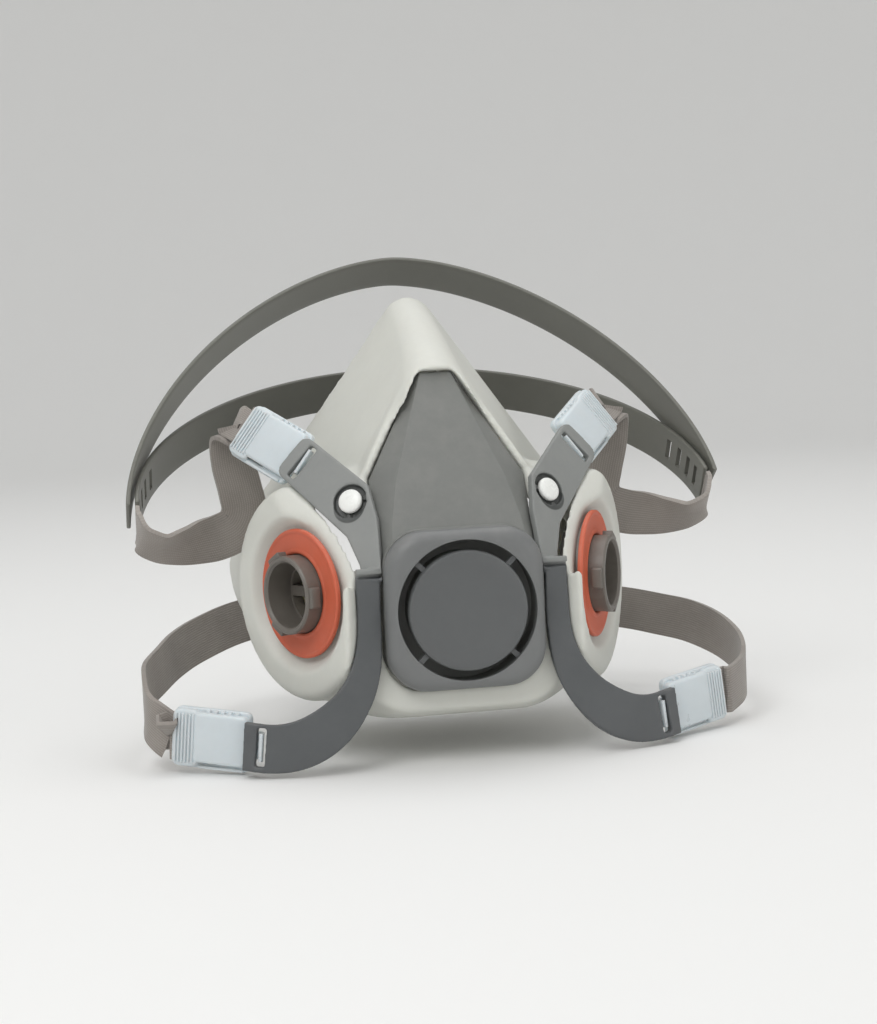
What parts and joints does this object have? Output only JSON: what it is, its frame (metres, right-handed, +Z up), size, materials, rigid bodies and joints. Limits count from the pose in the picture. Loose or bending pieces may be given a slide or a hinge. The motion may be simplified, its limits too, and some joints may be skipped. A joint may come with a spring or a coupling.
{
  "type": "half-mask respirator",
  "caption": "Half-mask respirator: soft face cup, nose panel, exhalation valve under a square cover, side bayonet filter ports, yokes, and a head and neck harness.",
  "frame": {"origin": "middle of the face opening, where the face seal meets the wearer's face", "axes": "+Z up the face, +Y back towards the wearer's head, +X to the viewer's right, across the mask"},
  "size_m": [0.206, 0.1417, 0.16],
  "materials": {
    "cup_rubber": "soft matt moulding with a faint sheen",
    "frame_plastic": "fine spark-eroded matt",
    "cover_plastic": "satin moulding",
    "flap_rubber": "smooth thin sheet",
    "port_plastic": "satin moulding",
    "gasket_rubber": "smooth matt",
    "ring_plastic": "satin moulding",
    "yoke_plastic": "satin moulding",
    "stud_plastic": "smooth",
    "buckle_plastic": "translucent milky moulding",
    "elastic": "woven elastic, fine lengthwise ribs",
    "cradle_plastic": "flexible satin strip",
    "clasp_plastic": "satin moulding"
  },
  "bodies": {
    "half_mask": {"facepiece": "cup_rubber", "front_frame": "frame_plastic", "bayonet_left": "port_plastic", "bayonet_right": "port_plastic", "gasket_left": "gasket_rubber", "gasket_right": "gasket_rubber", "clamp_ring_left": "ring_plastic", "clamp_ring_right": "ring_plastic", "yoke_left": "yoke_plastic", "yoke_right": "yoke_plastic", "stud_left": "stud_plastic", "stud_right": "stud_plastic"},
    "valve_cover": {"exhalation_cover": "cover_plastic"},
    "valve_flap": {"exhalation_flap": "flap_rubber"},
    "inlet_flap_left": {"inhalation_flap_left": "flap_rubber"},
    "inlet_flap_right": {"inhalation_flap_right": "flap_rubber"},
    "head_harness": {"rear_band": "cradle_plastic", "crown_band": "cradle_plastic", "upper_strap_left": "elastic", "upper_strap_right": "elastic", "upper_buckle_left": "buckle_plastic", "upper_buckle_right": "buckle_plastic"},
    "neck_strap_left": {"lower_buckle_left": "buckle_plastic", "lower_strap_left": "elastic", "neck_clasp_hook": "clasp_plastic"},
    "neck_strap_right": {"lower_buckle_right": "buckle_plastic", "lower_strap_right": "elastic", "neck_clasp_loop": "clasp_plastic"}
  },
  "joints": [
    {"name": "cover_release", "type": "slide", "parent": "half_mask", "child": "valve_cover", "axis": [0, -1, 0], "range_m": [0, 0.03]},
    {"name": "exhalation_flap_lift", "type": "slide", "parent": "half_mask", "child": "valve_flap", "axis": [0, -1, 0], "range_m": [0, 0.0015], "stiffness_N_per_m": 30, "springref_m": -0.001},
    {"name": "inhalation_flap_lift_left", "type": "slide", "parent": "half_mask", "child": "inlet_flap_left", "axis": [0.8788, 0.4772, 0], "range_m": [0, 0.0015], "stiffness_N_per_m": 30, "springref_m": -0.001},
    {"name": "inhalation_flap_lift_right", "type": "slide", "parent": "half_mask", "child": "inlet_flap_right", "axis": [-0.8788, 0.4772, 0], "range_m": [0, 0.0015], "stiffness_N_per_m": 30, "springref_m": -0.001},
    {"name": "head_harness_swing", "type": "hinge", "parent": "half_mask", "child": "head_harness", "pos_m": [0, -0.03606, 0.01493], "axis": [1, 0, 0], "range_deg": [-6, 8]},
    {"name": "neck_strap_swing_left", "type": "hinge", "parent": "half_mask", "child": "neck_strap_left", "pos_m": [-0.06675, -0.05995, -0.07078], "axis": [0.0997, 0.01, 0.995], "range_deg": [0, 50]},
    {"name": "neck_strap_swing_right", "type": "hinge", "parent": "half_mask", "child": "neck_strap_right", "pos_m": [0.06675, -0.05995, -0.07078], "axis": [0.0997, -0.01, -0.995], "range_deg": [0, 50]}
  ]
}
